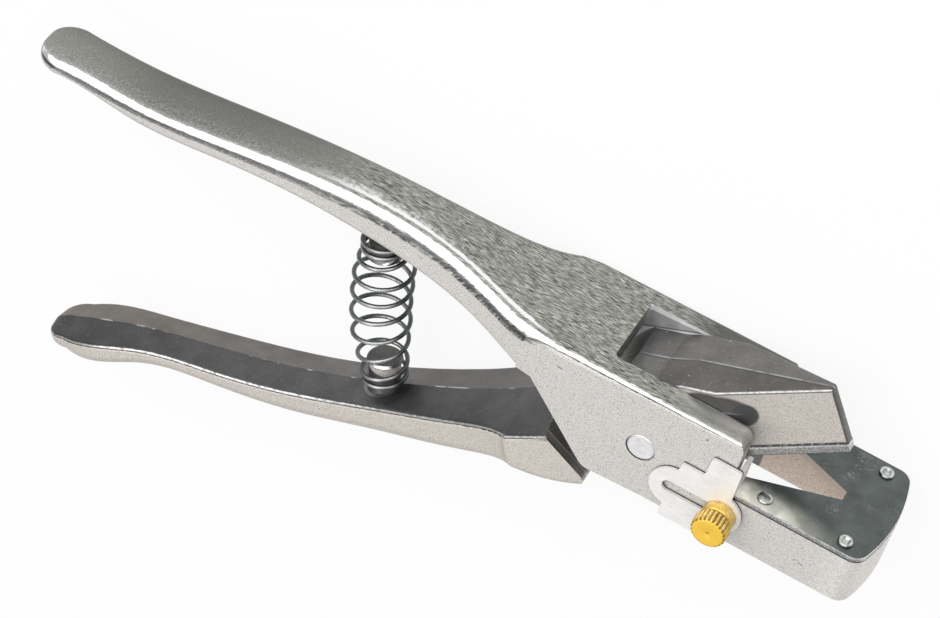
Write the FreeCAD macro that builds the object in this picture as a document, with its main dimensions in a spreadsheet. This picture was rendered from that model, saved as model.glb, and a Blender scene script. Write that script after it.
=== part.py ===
import FreeCAD, Part
import math
import os
import Sketcher

# Ear notcher, a pair of cast tongs that cuts a V notch.
# Frame of the part: origin on the pivot's axis, in the side face the tool lies on;
# +X along the frame to the jaw's nose, +Y out of the upper handle's back,
# +Z along the pivot towards the thumb screw. Each piece is drawn about the tool's
# middle plane and is lifted by half the frame's width when it is placed.

os.makedirs("parts", exist_ok=True)
V = FreeCAD.Vector
doc = FreeCAD.newDocument("ear_notcher")
sheet = doc.addObject("Spreadsheet::Sheet", "Sizes")


# A length carries its number for the first drawing and its text for the sheet.
class Length:
    def __init__(self, value, text):
        self.value = float(value)
        self.text = text

    def __add__(self, other):
        o = length(other)
        return Length(self.value + o.value, "(%s + %s)" % (self.text, o.text))

    def __radd__(self, other):
        return length(other) + self

    def __sub__(self, other):
        o = length(other)
        return Length(self.value - o.value, "(%s - %s)" % (self.text, o.text))

    def __rsub__(self, other):
        return length(other) - self

    def __mul__(self, other):
        o = length(other)
        return Length(self.value * o.value, "(%s * %s)" % (self.text, o.text))

    def __rmul__(self, other):
        return length(other) * self

    def __truediv__(self, other):
        o = length(other)
        return Length(self.value / o.value, "(%s / %s)" % (self.text, o.text))

    def __neg__(self):
        return Length(-self.value, "(0 - %s)" % self.text)


def length(x):
    if isinstance(x, Length):
        return x
    return Length(x, "(%.6g)" % x if x < 0 else "%.6g" % x)


def root(x):
    x = length(x)
    return Length(math.sqrt(x.value), "sqrt(%s)" % x.text)


rows = [0]


def cell(alias, value, note):
    rows[0] += 1
    r = rows[0]
    sheet.set("A%d" % r, note)
    sheet.set("B%d" % r, "%.6g" % value)
    sheet.setAlias("B%d" % r, alias)
    return Length(value, "Sizes.%s" % alias)


# Frame casting: cheeks, window and jaw
half = cell("half_width", 17.0, "half the width across the cheeks, block and jaw")
slot_half = cell("slot_half", 10.65, "half the width of the window and jaw slot")
window_rear = cell("window_rear", -15.0, "rear wall of the window")
slot_front = cell("slot_front", 50.0, "front end of the slot in the jaw")
cheek_top = cell("cheek_top", 17.5, "back of the cheeks above the pivot")
cheek_front = cell("cheek_front", 23.7, "front end of the cheeks")
cheek_seam = cell("cheek_seam", 12.0, "level where the rounded back begins")
cheek_bottom = cell("cheek_bottom", -16.0, "bottom of the cheeks under the pivot")
heel_x = cell("heel_x", -31.6, "rear corner of the cheeks")
heel_y = cell("heel_y", 3.6, "height of the rear corner")
heel_run = cell("heel_run", 19.5, "run of the slanted rear edge of the cheeks")
belly_radius = cell("belly_radius", 4.0, "rounding under the cheeks' rear corner")
jaw_bottom = cell("jaw_bottom", -15.1, "bottom of the jaw")
jaw_bottom_x = cell("jaw_bottom_x", 4.0, "where the bottom becomes level")
jaw_top = cell("jaw_top", -0.54, "seat of the die plate")
jaw_nose = cell("jaw_nose", 62.4, "front of the jaw")
nose_radius = cell("nose_radius", 50.0, "bow of the jaw's front in plan")
jaw_corner = cell("jaw_corner", 4.0, "corner radius of the jaw in plan")
web_roof = cell("web_roof", 10.6, "underside of the web at the window")
rear_round = cell("rear_round", 4.5, "rounding of the back at the shoulder")
heel_round = cell("heel_round", 2.8, "rounding of the back over the heel")
cheek_round = cell("cheek_round", 1.4, "rounding of the back at the front")
cheek_nose = cell("cheek_nose", 3.2, "rounding of the cheeks' front top corner")

# Handles
shoulder_x = cell("shoulder_x", -36.0, "where the upper handle meets the cheeks")
upper_pitch = cell("upper_pitch", 11.5, "spacing of the upper handle's sections")
lower_pitch = cell("lower_pitch", 11.46, "spacing of the lower handle's sections")
inner_round = cell("inner_round", 1.5, "rounding of the handles' inner rims")
draft = cell("draft", 0.155, "slope of the inner faces to the parting line")
crown = cell("crown", 0.3, "crown of the handles' backs")
end_length = cell("end_length", 7.4, "length of the rounded ends")

# Die plate and rivets
die_thick = cell("die_thick", 1.74, "thickness of the die plate")
die_rear = cell("die_rear", 25.1, "rear edge of the die plate")
die_inset = cell("die_inset", 0.15, "die plate inside the jaw's outline")
notch_tip = cell("notch_tip", 48.2, "blunt tip of the V in the die")
notch_tip_half = cell("notch_tip_half", 1.5, "half the width of the V's tip")
notch_slope = cell("notch_slope", 0.37, "widening of the V on each side")
rivet_rear_x = cell("rivet_rear_x", 32.3, "rear pair of die rivets")
rivet_front_x = cell("rivet_front_x", 54.1, "front pair of die rivets")
rivet_side = cell("rivet_side", 13.4, "die rivets from the middle plane")
rivet_radius = cell("rivet_radius", 1.5, "shank of the die rivets")
rivet_head = cell("rivet_head", 2.05, "radius of the rivets' domes")
rivet_dome = cell("rivet_dome", 0.8, "height of the rivets' domes")
rivet_depth = cell("rivet_depth", 7.0, "rivets' depth below the plate")

# Pivot
pin_radius = cell("pin_radius", 3.92, "radius of the pivot pin")
pin_press = cell("pin_press", 0.02, "clearance of the pin in the cheeks")
pin_run = cell("pin_run", 0.06, "clearance of the pin in the lever")
pin_edge = cell("pin_edge", 0.4, "chamfer of the pin's ends")
open_angle = cell("open_angle", 22.6, "angle of the lever from shut to open")

# Punch lever
tongue_play = cell("tongue_play", 0.25, "side play of the tongue in the slot")
tongue_radius = cell("tongue_radius", 16.5, "radius of the tongue about the pivot")
neck_top = cell("neck_top", 15.3, "top of the neck over the pivot")
neck_rear = cell("neck_rear", -6.1, "rear corner of the neck's top")
head_top = cell("head_top", 16.6, "top of the punch head")
neck_front = cell("neck_front", 2.0, "where the neck begins to rise to the head")
head_rear = cell("head_rear", 10.0, "where the rise ends")
roof_drop = cell("roof_drop", 0.45, "fall of the neck's and head's top to the sides")
head_round = cell("head_round", 0.8, "rounding of the head's top edges")
head_seat = cell("head_seat", 0.55, "seat of the punch plate")
head_lean = cell("head_lean", 2.9, "lean of the head's nose")
head_draft = cell("head_draft", 5.3, "how much sooner the head narrows on top")
block_rear = cell("block_rear", -38.0, "where the lower handle meets the block")
block_front_x = cell("block_front_x", -26.7, "upper corner of the block's face")
block_front_y = cell("block_front_y", -2.8, "height of that corner")
block_lean = cell("block_lean", 0.797, "forward lean of the block's face")
block_mid = cell("block_mid", -27.0, "middle section of the block")
block_mid_back = cell("block_mid_back", -17.9, "block's outside there")
block_mid_rim = cell("block_mid_rim", -3.2, "block's inside there")
block_end = cell("block_end", -14.0, "front section of the block")
block_end_back = cell("block_end_back", -16.0, "block's outside there")
block_end_rim = cell("block_end_rim", -0.4, "block's inside there")
block_round = cell("block_round", 1.8, "rounding along the block's outside")
toe_level = cell("toe_level", -16.4, "bottom corner of the block's face")
toe_round = cell("toe_round", 2.2, "rounding of that corner")
tongue_heel = cell("tongue_heel", 1.0, "tongue above the cheeks' bottom")

# Punch plate
punch_thick = cell("punch_thick", 2.42, "thickness of the punch plate")
punch_play = cell("punch_play", 0.2, "clearance of the punch in the die's V")
punch_rear = cell("punch_rear", 12.0, "rear end of the punch plate")
punch_rivet_radius = cell("punch_rivet_radius", 1.6, "shank of the punch rivets")
punch_rivet_head = cell("punch_rivet_head", 2.8, "countersink of the punch rivets")
punch_rivet_depth = cell("punch_rivet_depth", 7.0, "punch rivets' depth in the head")
punch_rivet_rear = cell("punch_rivet_rear", 18.0, "rear punch rivet")
punch_rivet_front = cell("punch_rivet_front", 35.0, "front punch rivet")

# Return spring and its studs
upper_seat_x = cell("upper_seat_x", -82.3, "spring seat on the upper handle")
upper_seat_y = cell("upper_seat_y", 8.6, "height of that seat")
lower_seat_x = cell("lower_seat_x", -81.8, "spring seat on the lower handle")
lower_seat_y = cell("lower_seat_y", -12.3, "height of that seat")
upper_tilt = cell("upper_tilt", 12.0, "tilt of the upper stud")
lower_tilt = cell("lower_tilt", 10.6, "tilt of the lower stud")
stud_radius = cell("stud_radius", 4.7, "radius of the studs' lips")
stud_neck = cell("stud_neck", 4.2, "radius of the studs below their lips")
stud_length = cell("stud_length", 9.6, "height of the studs")
stud_lip = cell("stud_lip", 1.5, "height of the studs' lips")
stud_root = cell("stud_root", 3.0, "depth of the studs' roots in the casting")
spring_wire = cell("spring_wire", 1.2, "diameter of the spring wire")
spring_belly = cell("spring_belly", 8.15, "outer radius at the spring's middle")
spring_play = cell("spring_play", 0.5, "play of the end turns round the studs")
spring_turns = cell("spring_turns", 9.9, "turns of the spring")
spring_start = cell("spring_start", 225.0, "angle at which the lowest turn begins")
closed_low = cell("closed_low", 1.2, "closer turns on the lower stud")
closed_high = cell("closed_high", 2.4, "closer turns on the upper stud")
spring_squeeze = cell("spring_squeeze", 0.36, "pitch of the closer turns to the others")
spring_uneven = cell("spring_uneven", 0.9, "how much the lower turns are wider apart")
spring_bow = cell("spring_bow", 1.2, "bow of the spring towards the handles' ends")
wire_sides = cell("wire_sides", 8, "sides that the wire is drawn with, to keep it light")
spring_lift_low = cell("spring_lift_low", 2.7, "first turn above the lower seat's middle")
spring_lift_high = cell("spring_lift_high", 1.6, "last turn below the upper seat's middle")

# Depth gauge and thumb screw
gauge_thick = cell("gauge_thick", 1.2, "thickness of the gauge's sheet")
gauge_play = cell("gauge_play", 0.05, "play of the gauge on the cheek")
gauge_rear = cell("gauge_rear", 11.0, "centre of the gauge's rear round")
gauge_front = cell("gauge_front", 23.4, "centre of the gauge's front round")
gauge_round = cell("gauge_round", 6.2, "radius of both rounds")
gauge_axis = cell("gauge_axis", -6.0, "height of the gauge's slot and the screw")
gauge_slot = cell("gauge_slot", 1.8, "half the width of the gauge's slot")
gauge_travel = cell("gauge_travel", 14.2, "length of the slot between its centres")
gauge_top = cell("gauge_top", 10.0, "top of the gauge's upright")
upright_rear = cell("upright_rear", 17.6, "rear side of the upright")
upright_step = cell("upright_step", 3.4, "height of the step behind the upright")
foot_rear = cell("foot_rear", 9.9, "rear end of the foot under the casting")
foot_front = cell("foot_front", 25.0, "front end of the foot")
foot_reach = cell("foot_reach", 5.0, "reach of the foot under the casting")
tab_reach = cell("tab_reach", 6.3, "reach of the stop tab past the cheek's face")
tab_bottom = cell("tab_bottom", 2.2, "bottom of the stop tab")
screw_x = cell("screw_x", 24.2, "thumb screw from the pivot")
screw_radius = cell("screw_radius", 1.75, "radius of the screw's thread")
screw_play = cell("screw_play", 0.03, "clearance of the screw in its hole")
collar_radius = cell("collar_radius", 4.3, "radius of the screw's collar")
collar_length = cell("collar_length", 3.0, "length of the collar")
groove_radius = cell("groove_radius", 3.7, "radius of the groove under the head")
groove_length = cell("groove_length", 0.6, "width of that groove")
knob_radius = cell("knob_radius", 4.7, "radius of the screw's head")
knob_length = cell("knob_length", 3.9, "length of the screw's head")
doc.recompute()


# Tools for drawing sketches
def plane(body, role):
    for feature in body.Origin.OriginFeatures:
        if feature.Role == role:
            return feature


def new_body(label):
    body = doc.addObject("PartDesign::Body", label)
    body.Label = label
    doc.recompute()
    return body


def new_sketch(body, name, role, level=0):
    sketch = body.newObject("Sketcher::SketchObject", name)
    sketch.AttachmentSupport = [(plane(body, role), "")]
    sketch.MapMode = "FlatFace"
    if isinstance(level, Length):
        sketch.setExpression("AttachmentOffset.Base.z", level.text)
    elif level:
        sketch.AttachmentOffset.Base.z = level
    return sketch


def fix(sketch, geo, pos, x, y):
    for kind, axis, value in (("DistanceX", -2, x), ("DistanceY", -1, y)):
        if not isinstance(value, Length) and value == 0:
            sketch.addConstraint(Sketcher.Constraint("PointOnObject", geo, pos, axis))
            continue
        value = length(value)
        rule = Sketcher.Constraint(kind, -1, 1, geo, pos, value.value)
        index = sketch.addConstraint(rule)
        if "Sizes" in value.text:
            sketch.setExpression("Constraints[%d]" % index, value.text)


def radius(sketch, geo, value):
    value = length(value)
    index = sketch.addConstraint(Sketcher.Constraint("Radius", geo, value.value))
    if "Sizes" in value.text:
        sketch.setExpression("Constraints[%d]" % index, value.text)


def number(x):
    return x.value if isinstance(x, Length) else float(x)


# An outline of straight sides, whose corners may be rounded: (x, y) or (x, y, radius)
def outline(sketch, points):
    n = len(points)
    at = [V(number(p[0]), number(p[1]), 0) for p in points]
    start = []
    end = []
    centre = []
    for i in range(n):
        if len(points[i]) == 2:
            start.append(at[i])
            end.append(at[i])
            centre.append(None)
            continue
        r = number(points[i][2])
        a = (at[i - 1] - at[i]).normalize()
        b = (at[(i + 1) % n] - at[i]).normalize()
        angle = a.getAngle(b)
        reach = r / math.tan(angle / 2)
        start.append(at[i] + a * reach)
        end.append(at[i] + b * reach)
        centre.append(at[i] + (a + b).normalize() * (r / math.sin(angle / 2)))
    for i in range(n):
        line = Part.LineSegment(end[i], start[(i + 1) % n])
        sketch.addGeometry(line, False)
    for i in range(n):
        before = (i - 1) % n
        if centre[i] is None:
            sketch.addConstraint(Sketcher.Constraint("Coincident", before, 2, i, 1))
            fix(sketch, i, 1, points[i][0], points[i][1])
            continue
        r = number(points[i][2])
        c = centre[i]
        to_start = start[i] - c
        to_end = end[i] - c
        angle_1 = math.atan2(to_start.y, to_start.x)
        angle_2 = math.atan2(to_end.y, to_end.x)
        circle = Part.Circle(c, V(0, 0, 1), r)
        turn = (angle_2 - angle_1) % (2 * math.pi)
        first, last = (1, 2)
        if turn > math.pi:
            angle_1, angle_2 = angle_2, angle_1
            first, last = (2, 1)
        arc = sketch.addGeometry(Part.ArcOfCircle(circle, angle_1, angle_2), False)
        point = sketch.addGeometry(Part.Point(at[i]), True)
        sketch.addConstraint(Sketcher.Constraint("Tangent", before, 2, arc, first))
        sketch.addConstraint(Sketcher.Constraint("Tangent", arc, last, i, 1))
        sketch.addConstraint(Sketcher.Constraint("PointOnObject", point, 1, before))
        sketch.addConstraint(Sketcher.Constraint("PointOnObject", point, 1, i))
        fix(sketch, point, 1, points[i][0], points[i][1])
        radius(sketch, arc, points[i][2])


def disc(sketch, x, y, r):
    circle = Part.Circle(V(number(x), number(y), 0), V(0, 0, 1), number(r))
    index = sketch.addGeometry(circle, False)
    fix(sketch, index, 3, x, y)
    radius(sketch, index, r)


# A closed run of corners joined by lines, or by arcs given by radius and side
def run(sketch, corners):
    n = len(corners)
    for i in range(n):
        a = V(number(corners[i][0]), number(corners[i][1]), 0)
        b = V(number(corners[(i + 1) % n][0]), number(corners[(i + 1) % n][1]), 0)
        if len(corners[i]) == 2:
            sketch.addGeometry(Part.LineSegment(a, b), False)
            continue
        r = number(corners[i][2])
        side = corners[i][3]
        chord = b - a
        across = V(-chord.y, chord.x, 0).normalize() * side
        drop = math.sqrt(max(r * r - chord.Length ** 2 / 4, 0))
        c = a + chord * 0.5 - across * drop
        angle_a = math.atan2(a.y - c.y, a.x - c.x)
        angle_b = math.atan2(b.y - c.y, b.x - c.x)
        circle = Part.Circle(c, V(0, 0, 1), r)
        if side < 0:
            arc = Part.ArcOfCircle(circle, angle_a, angle_b)
        else:
            arc = Part.ArcOfCircle(circle, angle_b, angle_a)
        sketch.addGeometry(arc, False)
    for i in range(n):
        before = corners[i - 1]
        last = 1 if len(before) == 4 and before[3] > 0 else 2
        first = 2 if len(corners[i]) == 4 and corners[i][3] > 0 else 1
        previous = (i - 1) % n
        rule = Sketcher.Constraint("Coincident", previous, last, i, first)
        sketch.addConstraint(rule)
        fix(sketch, i, first, corners[i][0], corners[i][1])
        if len(corners[i]) == 4:
            radius(sketch, i, corners[i][2])


# One cross section of a handle, drawn across its length. side is +1 with the back up
def section(body, name, x, wide, back, rim, back_round, rim_round, bow, rise, side):
    sketch = new_sketch(body, name, "YZ_Plane", x)
    top = wide - back_round
    low = wide - rim_round
    shoulder = back - back_round * side
    lip = rim + rim_round * side
    ridge = rim - rise * side
    bow_radius = (top * top + bow * bow) / (bow * 2)
    turn = -1 * side
    corners = [
        (back, -top, bow_radius, turn),
        (back, top, back_round, turn),
        (shoulder, wide),
        (lip, wide, rim_round, turn),
        (rim, low),
        (ridge, 0),
        (rim, -low, rim_round, turn),
        (lip, -wide),
        (shoulder, -wide, back_round, turn),
    ]
    run(sketch, corners)
    return sketch


def loft(body, name, sections, ruled=False):
    feature = body.newObject("PartDesign::AdditiveLoft", name)
    feature.Profile = (sections[0], [""])
    feature.Sections = [(s, [""]) for s in sections[1:]]
    feature.Ruled = ruled
    doc.recompute()
    return feature


def pad(body, name, sketch, size, middle=True, turned=False):
    feature = body.newObject("PartDesign::Pad", name)
    feature.Profile = (sketch, [""])
    feature.Midplane = middle
    feature.Reversed = turned
    size = length(size)
    feature.Length = size.value
    feature.setExpression("Length", size.text)
    doc.recompute()
    return feature


def pocket(body, name, sketch, size, middle=True, turned=False):
    before = body.Shape.Volume
    feature = body.newObject("PartDesign::Pocket", name)
    feature.Profile = (sketch, [""])
    feature.Midplane = middle
    feature.Reversed = turned
    size = length(size)
    feature.Length = size.value
    feature.setExpression("Length", size.text)
    doc.recompute()
    if not body.Shape.Volume < before - 0.01:
        raise RuntimeError("%s cuts nothing" % name)
    return feature


# The rounded end, as sections that shrink along the last few millimetres
def handle_end(body, prefix, start, row, side, toe):
    wide, back, rim, back_round = row[1:]
    middle = (back + rim) * 0.5 + toe
    tall = (back - rim) * 0.5
    shares = [(1.0, 1.0, 1.0), (0.62, 0.925, 0.95), (0.28, 0.72, 0.8), (0.06, 0.34, 0.5)]
    sections = []
    for i, (rest, across, high) in enumerate(shares):
        x = start - end_length * (1 - rest)
        shift = toe * (1 - rest)
        centre = middle - toe + shift
        sections.append(section(
            body, "%s_end_%d" % (prefix, i), x, wide * across, centre + tall * high,
            centre - tall * high, back_round * across, inner_round * across * 0.9,
            crown * across, draft * wide * across, side))
    return loft(body, prefix + "_end", sections)


def handle(body, prefix, start, pitch, table, side):
    sections = []
    for i, (station, wide, back, rim, back_round) in enumerate(table):
        sections.append(section(
            body, "%s_section_%d" % (prefix, i), start - pitch * station, wide, back, rim,
            back_round, inner_round, crown, draft * wide, side))
    return loft(body, prefix + "_handle", sections)


# A stud for the spring, turned about its own tilted axis
def stud(body, name, x, y, tilt, side):
    sketch = body.newObject("Sketcher::SketchObject", name + "_profile")
    sketch.AttachmentSupport = [(plane(body, "XY_Plane"), "")]
    sketch.MapMode = "FlatFace"
    turn = FreeCAD.Rotation(V(0, 0, 1), number(tilt))
    sketch.AttachmentOffset = FreeCAD.Placement(V(number(x), number(y), 0), turn)
    sketch.setExpression("AttachmentOffset.Base.x", x.text)
    sketch.setExpression("AttachmentOffset.Base.y", y.text)
    sketch.setExpression("AttachmentOffset.Rotation.Angle", tilt.text)
    lip = stud_length * side
    low = -stud_root * side
    under = lip - stud_lip * side
    edge = stud_lip * 0.4
    outline(sketch, [
        (0, low), (stud_neck + edge, low), (stud_neck, stud_lip * side),
        (stud_neck, under), (stud_radius, lip - edge * side), (stud_radius - edge, lip),
        (0, lip)])
    feature = body.newObject("PartDesign::Revolution", name)
    feature.Profile = (sketch, [""])
    feature.ReferenceAxis = (sketch, ["V_Axis"])
    feature.Angle = 360.0
    doc.recompute()
    return feature


# Stations of the handles counted outwards from the joint, each with its half width, back,
# inner rim and rounding of the back
def table_cells(prefix, rows_in):
    table = []
    for row in rows_in:
        station = row[0]
        sizes = [station]
        for kind, value in zip(("wide", "back", "rim", "round"), row[1:]):
            if not isinstance(value, Length):
                note = "%s of the %s handle at station %d" % (kind, prefix, station)
                value = cell("%s_%s_%02d" % (prefix, kind, station), value, note)
            sizes.append(value)
        table.append(sizes)
    return table


upper = table_cells("upper", [
    (0, half, 17.5, 4.3, rear_round), (1, 13.3, 17.5, 6.5, 4.4), (2, 10.65, 19.2, 8.2, 4.3),
    (4, 8.7, 20.65, 10.2, 4.3), (6, 8.5, 19.0, 10.9, 3.9), (8, 8.55, 15.55, 9.0, 3.1),
    (10, 8.5, 12.8, 7.1, 3.0), (12, 8.4, 12.9, 8.6, 2.9)])
lower = table_cells("lower", [
    (0, half, -17.0, -5.7, 3.0), (1, 12.6, -19.2, -8.3, 3.3), (2, 11.1, -21.0, -10.4, 3.7),
    (4, 9.2, -22.5, -13.25, 4.0), (6, 8.8, -22.3, -14.4, 3.6), (8, 8.4, -19.2, -13.1, 3.0),
    (10, 8.3, -17.1, -11.3, 2.9), (12, 8.0, -17.3, -12.5, 2.3)])
doc.recompute()

# Frame casting: cheeks and their back
frame = new_body("frame_casting")
side_view = new_sketch(frame, "cheek_side", "XY_Plane")
heel_low = heel_x + heel_run
outline(side_view, [
    (shoulder_x, cheek_seam), (shoulder_x, upper[0][3]), (heel_x, heel_y),
    (heel_low, cheek_bottom, belly_radius), (jaw_bottom_x, jaw_bottom),
    (die_rear, jaw_bottom), (die_rear, jaw_top), (cheek_front, jaw_top),
    (cheek_front, cheek_seam)])
pad(frame, "cheeks", side_view, half * 2)


def back_section(name, x, top, r):
    sketch = new_sketch(frame, name, "YZ_Plane", x)
    flat = half - r
    bow_radius = (flat * flat + crown * crown) / (crown * 2)
    run(sketch, [
        (cheek_seam, -half), (top - r, -half, r, -1), (top, -flat, bow_radius, -1),
        (top, flat, r, -1), (top - r, half), (cheek_seam, half)])
    return sketch


loft(frame, "cheek_back", [
    back_section("back_rear", shoulder_x, upper[0][2], rear_round),
    back_section("back_heel", heel_x + 1.0, cheek_top, heel_round),
    back_section("back_front", cheek_front, cheek_top, cheek_round)], True)
corner = new_sketch(frame, "cheek_corner", "XY_Plane")
outside = cheek_top + crown + 1.0
beyond = cheek_front + 1.0
run(corner, [
    (cheek_front, cheek_top - cheek_nose), (beyond, cheek_top - cheek_nose),
    (beyond, outside), (cheek_front - cheek_nose, outside),
    (cheek_front - cheek_nose, cheek_top + crown, root(cheek_nose * cheek_nose + crown * crown), 1)])
pocket(frame, "cheek_corners", corner, half * 2 + 2)

# Frame casting: the jaw, bowed in front
jaw_plan = new_sketch(frame, "jaw_plan", "XZ_Plane", -jaw_bottom)


def nose(sketch, rear, inset):
    wide = half - inset
    front = jaw_nose - inset
    bow = nose_radius - inset
    corner = jaw_corner - inset
    centre = front - bow
    reach = bow - corner
    side = wide - corner
    along = root(reach * reach - side * side)
    tip_x = centre + bow * along / reach
    tip_z = bow * side / reach
    return [
        (rear, -wide), (centre + along, -wide, corner, -1),
        (tip_x, -tip_z, bow, -1), (tip_x, tip_z, corner, -1),
        (centre + along, wide), (rear, wide)]


run(jaw_plan, nose(jaw_plan, die_rear - 3.0, Length(0, "0")))
pad(frame, "jaw", jaw_plan, jaw_top - jaw_bottom, False, True)

# Frame casting: the upper handle
handle(frame, "upper", shoulder_x, upper_pitch, upper, 1)
handle_end(frame, "upper", shoulder_x - upper_pitch * upper[-1][0], upper[-1], 1, -0.1)
stud(frame, "upper_stud", upper_seat_x, upper_seat_y, upper_tilt, -1)

# Frame casting: window, slot and bores
window = new_sketch(frame, "window_plan", "XZ_Plane")
outline(window, [
    (window_rear, -slot_half, 1.0), (slot_front, -slot_half, 1.5),
    (slot_front, slot_half, 1.5), (window_rear, slot_half, 1.0)])
pocket(frame, "window", window, cheek_top * 4)
under = new_sketch(frame, "under_web", "XY_Plane")
outline(under, [
    (window_rear + 1.5, web_roof), (window_rear, web_roof, 0.8),
    (heel_x - 1.0, heel_y - 0.4), (heel_x - 1.0, cheek_bottom - 2.0),
    (window_rear + 1.5, cheek_bottom - 2.0)])
pocket(frame, "lever_slot", under, slot_half * 2)
bore = new_sketch(frame, "pin_bore_circle", "XY_Plane")
disc(bore, 0, 0, pin_radius + pin_press)
pocket(frame, "pin_bore", bore, half * 2 + 2)
tapped = new_sketch(frame, "screw_hole_circle", "XY_Plane", slot_half - 1.0)
disc(tapped, screw_x, gauge_axis, screw_radius + screw_play)
pocket(frame, "screw_hole", tapped, half - slot_half + 2, False, True)
rivet_holes = new_sketch(frame, "rivet_hole_circles", "XZ_Plane", -jaw_top)
places = [(rivet_rear_x, rivet_side), (rivet_rear_x, -rivet_side),
          (rivet_front_x, rivet_side), (rivet_front_x, -rivet_side)]
for x, z in places:
    disc(rivet_holes, x, z, rivet_radius + pin_press)
pocket(frame, "rivet_holes", rivet_holes, rivet_depth + 0.3, False, True)

# Punch lever: drawn with the tool shut
lever = new_body("punch_lever")
def block_section(name, x, back, rim, back_round):
    return section(lever, name, x, half, back, rim, back_round, inner_round, crown,
                   draft * half, -1)


loft(lever, "block", [
    block_section("block_0", block_rear, lower[0][2], lower[0][3], lower[0][4]),
    block_section("block_1", block_mid, block_mid_back, block_mid_rim, block_round),
    block_section("block_2", block_end, block_end_back, block_end_rim, block_round)])
face = new_sketch(lever, "block_face", "XY_Plane")
above = half
below = toe_level * 2
toe_x = block_front_x + (block_front_y - toe_level) * block_lean
outline(face, [
    (block_front_x - (above - block_front_y) * block_lean, above), (0.01, above),
    (0.01, below), (block_mid + 3.0, below), (block_mid + 3.0, block_mid_back - 0.1),
    (toe_x, toe_level, toe_round)])
pocket(lever, "block_front", face, half * 2 + 4)
handle(lever, "lower", block_rear, lower_pitch, lower, -1)
handle_end(lever, "lower", block_rear - lower_pitch * lower[-1][0], lower[-1], -1, -0.2)

# Punch lever: tongue and head
tongue_half = slot_half - tongue_play
tongue = new_sketch(lever, "tongue_side", "XY_Plane")
rear_arc_y = Length(5.4, "5.4")
rear_arc_x = -root(tongue_radius * tongue_radius - rear_arc_y * rear_arc_y)
neck_arc_y = root(tongue_radius * tongue_radius - neck_rear * neck_rear)
tongue_low = cheek_bottom + tongue_heel
run(tongue, [
    (block_front_x - 3.0, block_front_y - 1.0), (block_front_x - 1.0, tongue_low),
    (-pin_radius, tongue_low - tongue_heel * 0.6), (head_rear - 3.0, tongue_low + 1.4),
    (punch_rear, head_seat), (punch_rear + 4.0, head_seat), (punch_rear + 4.0, head_top),
    (head_rear, head_top), (neck_front, neck_top), (neck_rear, neck_top),
    (neck_rear, neck_arc_y - 0.02, tongue_radius, -1), (rear_arc_x, rear_arc_y)])
pad(lever, "tongue", tongue, tongue_half * 2)


def head_plan(name, level, tip, wide_at):
    sketch = new_sketch(lever, name, "XZ_Plane", level)
    tip_half = notch_tip_half - 0.15
    outline(sketch, [
        (head_rear, -tongue_half), (wide_at, -tongue_half, 1.0), (tip, -tip_half, 0.8),
        (tip, tip_half, 0.8), (wide_at, tongue_half, 1.0), (head_rear, tongue_half)])
    return sketch


punch_tip = notch_tip - punch_play
widest = punch_tip - (tongue_half - notch_tip_half + 0.15) / notch_slope
low_plan = head_plan("head_low", -head_seat, punch_tip, widest)
high_plan = head_plan("head_high", -head_top, punch_tip - head_lean, widest - head_draft)
loft(lever, "head", [low_plan, high_plan], True)


# The roof over neck and head, with its ridge on the parting line
def roof_section(name, x, ridge):
    sketch = new_sketch(lever, name, "YZ_Plane", x)
    side = tongue_half + 1.0
    eaves = ridge - roof_drop * side / tongue_half
    outline(sketch, [
        (ridge, 0), (eaves, side), (head_top + 3.0, side), (head_top + 3.0, -side),
        (eaves, -side)])
    return sketch


roof = lever.newObject("PartDesign::SubtractiveLoft", "roof")
roof.Profile = (roof_section("roof_0", neck_rear - 0.5, neck_top), [""])
roof.Sections = [(roof_section("roof_1", neck_front, neck_top), [""]),
                 (roof_section("roof_2", head_rear, head_top), [""]),
                 (roof_section("roof_3", punch_tip + 1.0, head_top), [""])]
roof.Ruled = True
doc.recompute()
lip_names = []
for i, edge in enumerate(lever.Shape.Edges):
    box = edge.BoundBox
    high = box.YMin > head_top.value - roof_drop.value - 0.05
    wide = max(abs(box.ZMin), abs(box.ZMax)) > 1.0
    along = box.XMin > head_rear.value - 0.01
    if high and wide and along and abs(edge.CenterOfMass.z) > 0.9 or (
            high and box.XMin > punch_tip.value - head_lean.value - 0.2):
        lip_names.append("Edge%d" % (i + 1))
lips = lever.newObject("PartDesign::Fillet", "head_lips")
lips.Base = (roof, lip_names)
lips.setExpression("Radius", head_round.text)
doc.recompute()
lever_bore = new_sketch(lever, "lever_bore_circle", "XY_Plane")
disc(lever_bore, 0, 0, pin_radius + pin_run)
pocket(lever, "lever_bore", lever_bore, half * 2 + 2)
punch_holes = new_sketch(lever, "punch_hole_circles", "XZ_Plane", -head_seat)
for x in (punch_rivet_rear, punch_rivet_front):
    disc(punch_holes, x, 0, punch_rivet_radius + pin_press)
pocket(lever, "punch_holes", punch_holes, punch_rivet_depth + 0.3, False, False)
stud(lever, "lower_stud", lower_seat_x, lower_seat_y, -lower_tilt, 1)

# Pivot pin
pin = new_body("pivot_pin")
pin_circle = new_sketch(pin, "pin_circle", "XY_Plane")
disc(pin_circle, 0, 0, pin_radius)
pad(pin, "pin_shank", pin_circle, half * 2)
edges = pin.newObject("PartDesign::Chamfer", "pin_edges")
names = ["Edge%d" % (i + 1) for i, e in enumerate(pin.Shape.Edges) if e.isClosed()]
edges.Base = (doc.getObject("pin_shank"), names)
edges.setExpression("Size", pin_edge.text)
doc.recompute()

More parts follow.
